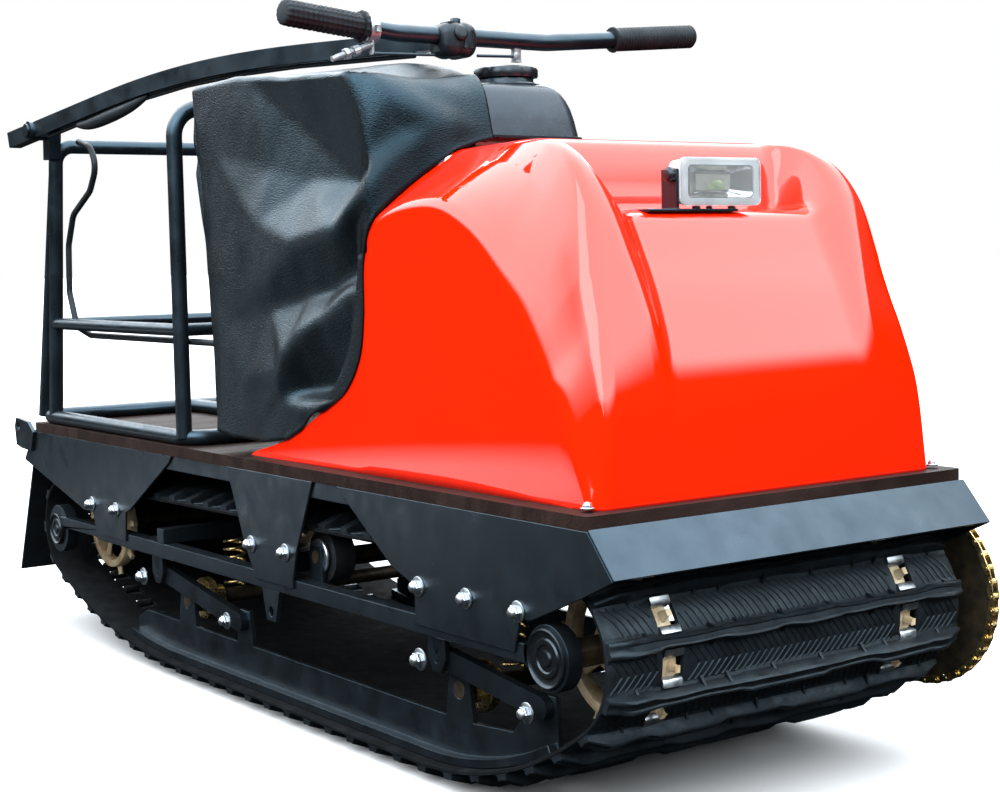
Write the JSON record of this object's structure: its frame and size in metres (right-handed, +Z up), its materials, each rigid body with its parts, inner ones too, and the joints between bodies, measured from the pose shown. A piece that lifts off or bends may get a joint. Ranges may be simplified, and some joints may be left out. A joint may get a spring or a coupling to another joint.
{
  "type": "tracked snow towing vehicle",
  "caption": "Low single-track snow towing machine with a moulded hood, covered engine, rear cargo basket and a folding steering arm with handlebar.",
  "frame": {"origin": "on the ground, on the machine's centre line, under the lug that stands about mid-length of the flat ground run", "axes": "+Z up, -Y the way the machine drives, +X the machine's left side with the drive chain"},
  "size_m": [0.6096, 1.5393, 0.8654],
  "materials": {
    "frame_steel": "satin",
    "deck_ply": "satin",
    "track_rubber": "matte",
    "sprocket_plastic": "satin",
    "bright_steel": "satin",
    "yellow_zinc": "satin",
    "roller_rubber": "matte",
    "black_rubber": "matte",
    "black_plastic": "satin",
    "hood_gloss": "gloss",
    "cover_cloth": "matte",
    "engine_metal": "matte",
    "lamp_glass": "gloss"
  },
  "bodies": {
    "chassis": {"basket_braces": "frame_steel", "basket_hoop": "frame_steel", "basket_mid_rails": "frame_steel", "basket_rear_frame": "frame_steel", "basket_rim": "frame_steel", "beam_brackets": "frame_steel", "bearing_housings": "frame_steel", "carrier_axles": "bright_steel", "carrier_hubs": "yellow_zinc", "cross_tubes": "frame_steel", "deck_board": "deck_ply", "deck_frame": "frame_steel", "drive_chain": "yellow_zinc", "drive_shaft": "bright_steel", "drive_sprockets": "sprocket_plastic", "driven_sprocket": "yellow_zinc", "engine_block": "engine_metal", "engine_cover": "cover_cloth", "front_deflector": "frame_steel", "fuel_cap": "black_plastic", "fuel_tank": "black_plastic", "headlamp_body": "black_plastic", "headlamp_bracket": "frame_steel", "headlamp_lens": "lamp_glass", "hood": "hood_gloss", "idler_shaft": "bright_steel", "idler_sprockets": "sprocket_plastic", "jackshaft": "bright_steel", "jackshaft_stand": "frame_steel", "lashing_eyes": "frame_steel", "mud_flap": "black_rubber", "post_cable": "black_rubber", "rear_deflector": "frame_steel", "side_beams": "frame_steel", "side_plates_left": "frame_steel", "side_plates_right": "frame_steel", "slide_rails": "frame_steel", "steering_hinge": "frame_steel", "support_rollers": "roller_rubber", "support_shaft": "bright_steel", "suspension_arms": "frame_steel", "suspension_springs": "yellow_zinc", "tensioner_yokes": "frame_steel", "tow_ears": "frame_steel", "track": "track_rubber"},
    "steering": {"steering_arm": "frame_steel", "handlebar": "frame_steel", "grips": "black_rubber", "bar_clamp": "black_plastic", "lever_perch": "bright_steel", "pull_bracket": "bright_steel", "link_rod": "bright_steel", "arm_cable": "black_rubber"}
  },
  "joints": [
    {"name": "steering_arm_fold", "type": "hinge", "parent": "chassis", "child": "steering", "pos_m": [-0.281, 0.605, 0.77], "axis": [-1, 0, 0], "range_deg": [0, 165]}
  ]
}
